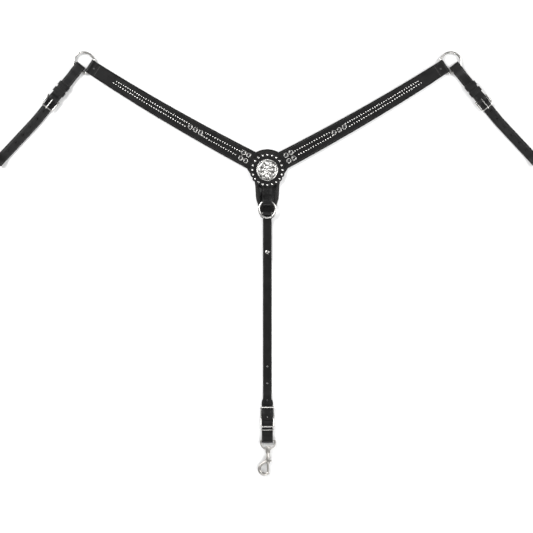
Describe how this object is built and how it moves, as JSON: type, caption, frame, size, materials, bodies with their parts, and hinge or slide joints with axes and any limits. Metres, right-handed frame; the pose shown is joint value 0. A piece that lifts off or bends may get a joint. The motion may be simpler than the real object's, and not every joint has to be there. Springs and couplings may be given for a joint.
{
  "type": "breast collar",
  "caption": "Western leather breast collar: two curved tooled wings joined under a scalloped rosette with a concho, buckled tug straps, and a tie-down strap with a bolt snap.",
  "frame": {"origin": "centre of the rosette on the back face of the lining", "axes": "+X along the longest extent, towards the right tug; +Y up towards the dees; +Z out of the decorated face"},
  "size_m": [1.2024, 0.93, 0.0164],
  "materials": {
    "harness_leather": "black, lightly oiled, burnished edges",
    "lining": "black, matt back",
    "nickel": "nickel plated, lightly worn",
    "antique_silver": "antiqued, dark in the recesses",
    "onyx": "polished black"
  },
  "bodies": {
    "collar": {"yoke_backing": "lining", "yoke_overlay": "harness_leather", "wing_left": "harness_leather", "wing_right": "harness_leather", "wing_lining_left": "lining", "wing_lining_right": "lining", "center_tab": "harness_leather", "rosette": "harness_leather", "concho": "antique_silver", "concho_screw": "nickel", "rosette_spots": "nickel", "wing_spots_left": "nickel", "wing_spots_right": "nickel", "bezels_left": "antique_silver", "bezels_right": "antique_silver", "stones_left": "onyx", "stones_right": "onyx", "end_rivet_left": "nickel", "end_rivet_right": "nickel"},
    "dee_left_body": {"dee_left": "nickel"},
    "tug_left_body": {"tug_strap_left": "harness_leather", "tug_keeper_fixed_left": "harness_leather"},
    "keeper_left_body": {"tug_keeper_sliding_left": "harness_leather"},
    "buckle_left_body": {"tug_buckle_left": "nickel"},
    "tongue_left_body": {"tug_tongue_left": "nickel"},
    "dee_right_body": {"dee_right": "nickel"},
    "tug_right_body": {"tug_strap_right": "harness_leather", "tug_keeper_fixed_right": "harness_leather"},
    "keeper_right_body": {"tug_keeper_sliding_right": "harness_leather"},
    "buckle_right_body": {"tug_buckle_right": "nickel"},
    "tongue_right_body": {"tug_tongue_right": "nickel"},
    "ring_body": {"center_ring": "nickel"},
    "tie_down_body": {"tie_down_strap": "harness_leather", "tie_down_screw": "nickel", "snap_strap": "harness_leather", "conway_buckle": "nickel"},
    "keeper_loop_body": {"keeper_loop": "nickel"},
    "eye_body": {"snap_eye": "nickel"},
    "snap_barrel_body": {"snap_body": "nickel", "snap_spring": "nickel"},
    "bolt_body": {"snap_bolt": "nickel"}
  },
  "joints": [
    {"name": "dee_left_hinge", "type": "hinge", "parent": "collar", "child": "dee_left_body", "pos_m": [-0.3878, 0.22676, 0.0048], "axis": [0.5461, 0.8378, 0], "range_deg": [-90, 90]},
    {"name": "tug_left_swing", "type": "hinge", "parent": "dee_left_body", "child": "tug_left_body", "pos_m": [-0.40213, 0.2361, 0.0048], "axis": [0, 0, 1], "range_deg": [-165, 0]},
    {"name": "keeper_left_slide", "type": "slide", "parent": "tug_left_body", "child": "keeper_left_body", "axis": [-0.6252, -0.7804, 0], "range_m": [-0.0047, 0.003]},
    {"name": "buckle_left_hinge", "type": "hinge", "parent": "tug_left_body", "child": "buckle_left_body", "pos_m": [-0.46818, 0.15524, 0.0066], "axis": [-0.7804, 0.6252, 0], "range_deg": [0, 12]},
    {"name": "tongue_left_hinge", "type": "hinge", "parent": "buckle_left_body", "child": "tongue_left_body", "pos_m": [-0.46818, 0.15524, 0.0066], "axis": [-0.7804, 0.6252, 0], "range_deg": [0, 10]},
    {"name": "dee_right_hinge", "type": "hinge", "parent": "collar", "child": "dee_right_body", "pos_m": [0.3878, 0.22676, 0.0048], "axis": [-0.5461, 0.8378, 0], "range_deg": [-90, 90]},
    {"name": "tug_right_swing", "type": "hinge", "parent": "dee_right_body", "child": "tug_right_body", "pos_m": [0.40213, 0.2361, 0.0048], "axis": [0, 0, 1], "range_deg": [0, 165]},
    {"name": "keeper_right_slide", "type": "slide", "parent": "tug_right_body", "child": "keeper_right_body", "axis": [0.6252, -0.7804, 0], "range_m": [-0.0047, 0.003]},
    {"name": "buckle_right_hinge", "type": "hinge", "parent": "tug_right_body", "child": "buckle_right_body", "pos_m": [0.46818, 0.15524, 0.0066], "axis": [-0.7804, -0.6252, 0], "range_deg": [0, 12]},
    {"name": "tongue_right_hinge", "type": "hinge", "parent": "buckle_right_body", "child": "tongue_right_body", "pos_m": [0.46818, 0.15524, 0.0066], "axis": [-0.7804, -0.6252, 0], "range_deg": [0, 10]},
    {"name": "ring_flip", "type": "hinge", "parent": "collar", "child": "ring_body", "pos_m": [0, -0.06995, 0.00995], "axis": [-1, 0, 0], "range_deg": [0, 62]},
    {"name": "tie_down_slide", "type": "slide", "parent": "ring_body", "child": "tie_down_body", "axis": [1, 0, 0], "range_m": [-0.001, 0.001]},
    {"name": "keeper_loop_slide", "type": "slide", "parent": "tie_down_body", "child": "keeper_loop_body", "axis": [0, 1, 0], "range_m": [-0.012, 0.0015]},
    {"name": "snap_eye_hinge", "type": "hinge", "parent": "tie_down_body", "child": "eye_body", "pos_m": [0.0012, -0.593, 0.005], "axis": [-1, 0, 0], "range_deg": [0, 90]},
    {"name": "snap_swivel", "type": "hinge", "parent": "eye_body", "child": "snap_barrel_body", "pos_m": [0.0012, -0.62, 0.005], "axis": [0, 1, 0], "continuous": true},
    {"name": "bolt_slide", "type": "slide", "parent": "snap_barrel_body", "child": "bolt_body", "axis": [0, 1, 0], "range_m": [0, 0.0065], "stiffness_N_per_m": 300, "springref_m": -0.003, "deforming": ["snap_spring"]}
  ]
}
